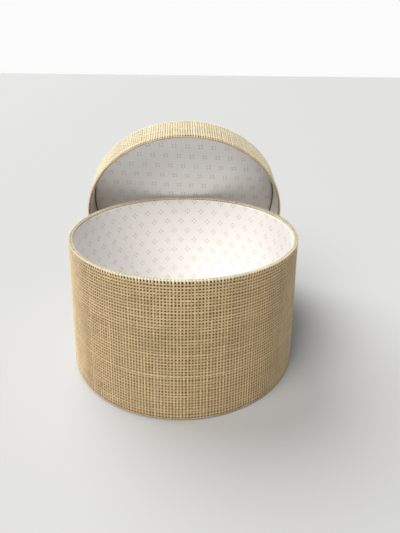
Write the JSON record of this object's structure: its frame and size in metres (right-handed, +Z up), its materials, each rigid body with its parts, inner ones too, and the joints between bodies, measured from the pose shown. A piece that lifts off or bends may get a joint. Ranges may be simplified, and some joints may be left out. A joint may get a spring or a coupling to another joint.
{
  "type": "round hat box with lift-off lid",
  "caption": "Round fabric-covered storage box with a printed-paper lining, and its matching loose lid leaning open on the wall behind.",
  "frame": {"origin": "middle of the box's underside, on the surface it stands on", "axes": "+Z up along the box's axis; the lid stands behind the box towards +Y, its hollow side facing -Y; +X to the right seen from the front"},
  "size_m": [0.2592, 0.3068, 0.2532],
  "materials": {
    "burlap": "natural jute in an open plain weave, matt",
    "board": "grey-brown pulp board, matt",
    "lining": "white paper with a fine repeat of small pale pink dots, faint sheen",
    "tape": "gummed kraft paper, matt"
  },
  "bodies": {
    "box": {"box_wall_board": "board", "box_base_board": "board", "box_wall_joint_tape": "tape", "box_base_corner_tape": "tape", "box_wall_burlap": "burlap", "box_base_burlap": "burlap", "box_wall_lining": "lining", "box_base_lining": "lining"},
    "lid": {"lid_band_board": "board", "lid_top_board": "board", "lid_band_joint_tape": "tape", "lid_top_corner_tape": "tape", "lid_band_burlap": "burlap", "lid_top_burlap": "burlap", "lid_band_lining": "lining", "lid_top_lining": "lining"}
  },
  "joints": [
    {"name": "lid_lift", "type": "slide", "parent": "box", "child": "lid", "axis": [0, 0, 1], "range_m": [0, 0.16]}
  ]
}
